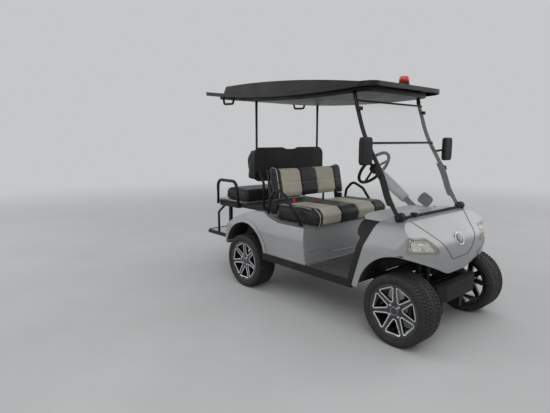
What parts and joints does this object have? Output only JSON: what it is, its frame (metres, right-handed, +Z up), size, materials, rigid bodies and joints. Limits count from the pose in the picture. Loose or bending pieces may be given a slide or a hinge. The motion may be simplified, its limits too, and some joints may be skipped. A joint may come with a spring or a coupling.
{
  "type": "golf cart",
  "caption": "Electric golf cart with a canopy, front bench, rear-facing flip seat over a footrest, low-profile road tyres, rack steering and a folding windscreen.",
  "frame": {"origin": "on the ground under the middle of the overall length and width", "axes": "+X forward, +Y to the left, +Z up"},
  "size_m": [2.7729, 1.244, 1.9418],
  "materials": {
    "body_silver": "metallic gloss",
    "trim_black": "grained",
    "roof_black": "satin",
    "floor_mat": "ribbed",
    "battery_case": "grained",
    "dash_grey": "fine grain",
    "lamp_clear": "polished",
    "lamp_red": "polished",
    "post_black": "powder coat",
    "frame_black": "powder coat",
    "screen_clear": "polished",
    "seal_rubber": "satin",
    "beacon_red": "polished",
    "seat_vinyl": "grained vinyl",
    "tread_plate": "tread plate",
    "step_frame": "powder coat",
    "cast_black": "rough",
    "spring_steel": "satin",
    "grip_black": "soft",
    "tyre": "moulded",
    "rim_alloy": "gloss black"
  },
  "bodies": {
    "chassis": {"chassis_frame": "frame_black", "floor_pan": "floor_mat", "rocker_trims": "trim_black", "rear_body": "body_silver", "kick_panel": "body_silver", "battery_pack": "battery_case", "front_cowl": "body_silver", "bonnet_panel": "body_silver", "cowl_trim": "trim_black", "dash_panel": "dash_grey", "headlamps": "lamp_clear", "tail_lamps": "lamp_red", "front_bumper": "trim_black", "wheel_liners": "trim_black", "roof_canopy": "roof_black", "roof_tray": "roof_black", "roof_handles": "trim_black", "front_posts": "post_black", "rear_posts": "post_black", "windscreen": "screen_clear", "screen_seal": "seal_rubber", "mirrors": "trim_black", "beacon": "beacon_red", "front_seat_back": "seat_vinyl", "seat_supports": "post_black", "armrest_hoops": "post_black", "rear_deck": "trim_black", "rear_back_shell": "trim_black", "rear_seat_back": "seat_vinyl", "footrest": "step_frame", "rear_axle": "cast_black", "rear_springs": "spring_steel", "drive_motor": "cast_black", "front_arms": "frame_black", "rack_housing": "cast_black", "steering_column": "post_black", "pedals": "trim_black"},
    "knuckle_right": {"knuckle_right": "cast_black"},
    "knuckle_left": {"knuckle_left": "cast_black"},
    "wheel_front_right": {"tyre_front_right": "tyre", "rim_front_right": "rim_alloy"},
    "wheel_front_left": {"tyre_front_left": "tyre", "rim_front_left": "rim_alloy"},
    "wheel_rear_right": {"tyre_rear_right": "tyre", "rim_rear_right": "rim_alloy"},
    "wheel_rear_left": {"tyre_rear_left": "tyre", "rim_rear_left": "rim_alloy"},
    "steering_rack": {"steering_rack": "spring_steel"},
    "steering_wheel": {"steering_wheel": "grip_black"},
    "front_seat": {"front_seat_cushion": "seat_vinyl"},
    "rear_seat": {"rear_seat_pan": "tread_plate", "rear_seat_cushion": "seat_vinyl"}
  },
  "joints": [
    {"name": "steer_right", "type": "hinge", "parent": "chassis", "child": "knuckle_right", "pos_m": [1.1345, -0.4, 0.252], "axis": [0, 0, 1], "range_deg": [-30, 30]},
    {"name": "steer_left", "type": "hinge", "parent": "chassis", "child": "knuckle_left", "pos_m": [1.1345, 0.4, 0.252], "axis": [0, 0, 1], "range_deg": [-30, 30]},
    {"name": "rack_slide", "type": "slide", "parent": "chassis", "child": "steering_rack", "axis": [0, 1, 0], "range_m": [-0.0524, 0.0524]},
    {"name": "steering_wheel_turn", "type": "hinge", "parent": "chassis", "child": "steering_wheel", "pos_m": [0.3295, 0.25, 1.15], "axis": [-0.809, 0, 0.5878], "range_deg": [-360, 360]},
    {"name": "front_right_spin", "type": "hinge", "parent": "knuckle_right", "child": "wheel_front_right", "pos_m": [1.1345, -0.487, 0.252], "axis": [0, 1, 0], "continuous": true},
    {"name": "front_left_spin", "type": "hinge", "parent": "knuckle_left", "child": "wheel_front_left", "pos_m": [1.1345, 0.487, 0.252], "axis": [0, 1, 0], "continuous": true},
    {"name": "rear_right_spin", "type": "hinge", "parent": "chassis", "child": "wheel_rear_right", "pos_m": [-0.5315, -0.502, 0.252], "axis": [0, 1, 0], "continuous": true},
    {"name": "rear_left_spin", "type": "hinge", "parent": "chassis", "child": "wheel_rear_left", "pos_m": [-0.5315, 0.502, 0.252], "axis": [0, 1, 0], "continuous": true},
    {"name": "front_seat_tilt", "type": "hinge", "parent": "chassis", "child": "front_seat", "pos_m": [0.2735, 0, 0.6883], "axis": [0, 1, 0], "range_deg": [0, 45]},
    {"name": "rear_seat_flip", "type": "hinge", "parent": "chassis", "child": "rear_seat", "pos_m": [-1.1765, 0, 0.776], "axis": [0, -1, 0], "range_deg": [0, 180]}
  ],
  "couplings": [
    {"joint": "steer_left", "follows": "steer_right", "ratio": 1},
    {"joint": "rack_slide", "follows": "steer_right", "m_per_rad": -0.1},
    {"joint": "steering_wheel_turn", "follows": "steer_right", "ratio": 12}
  ]
}
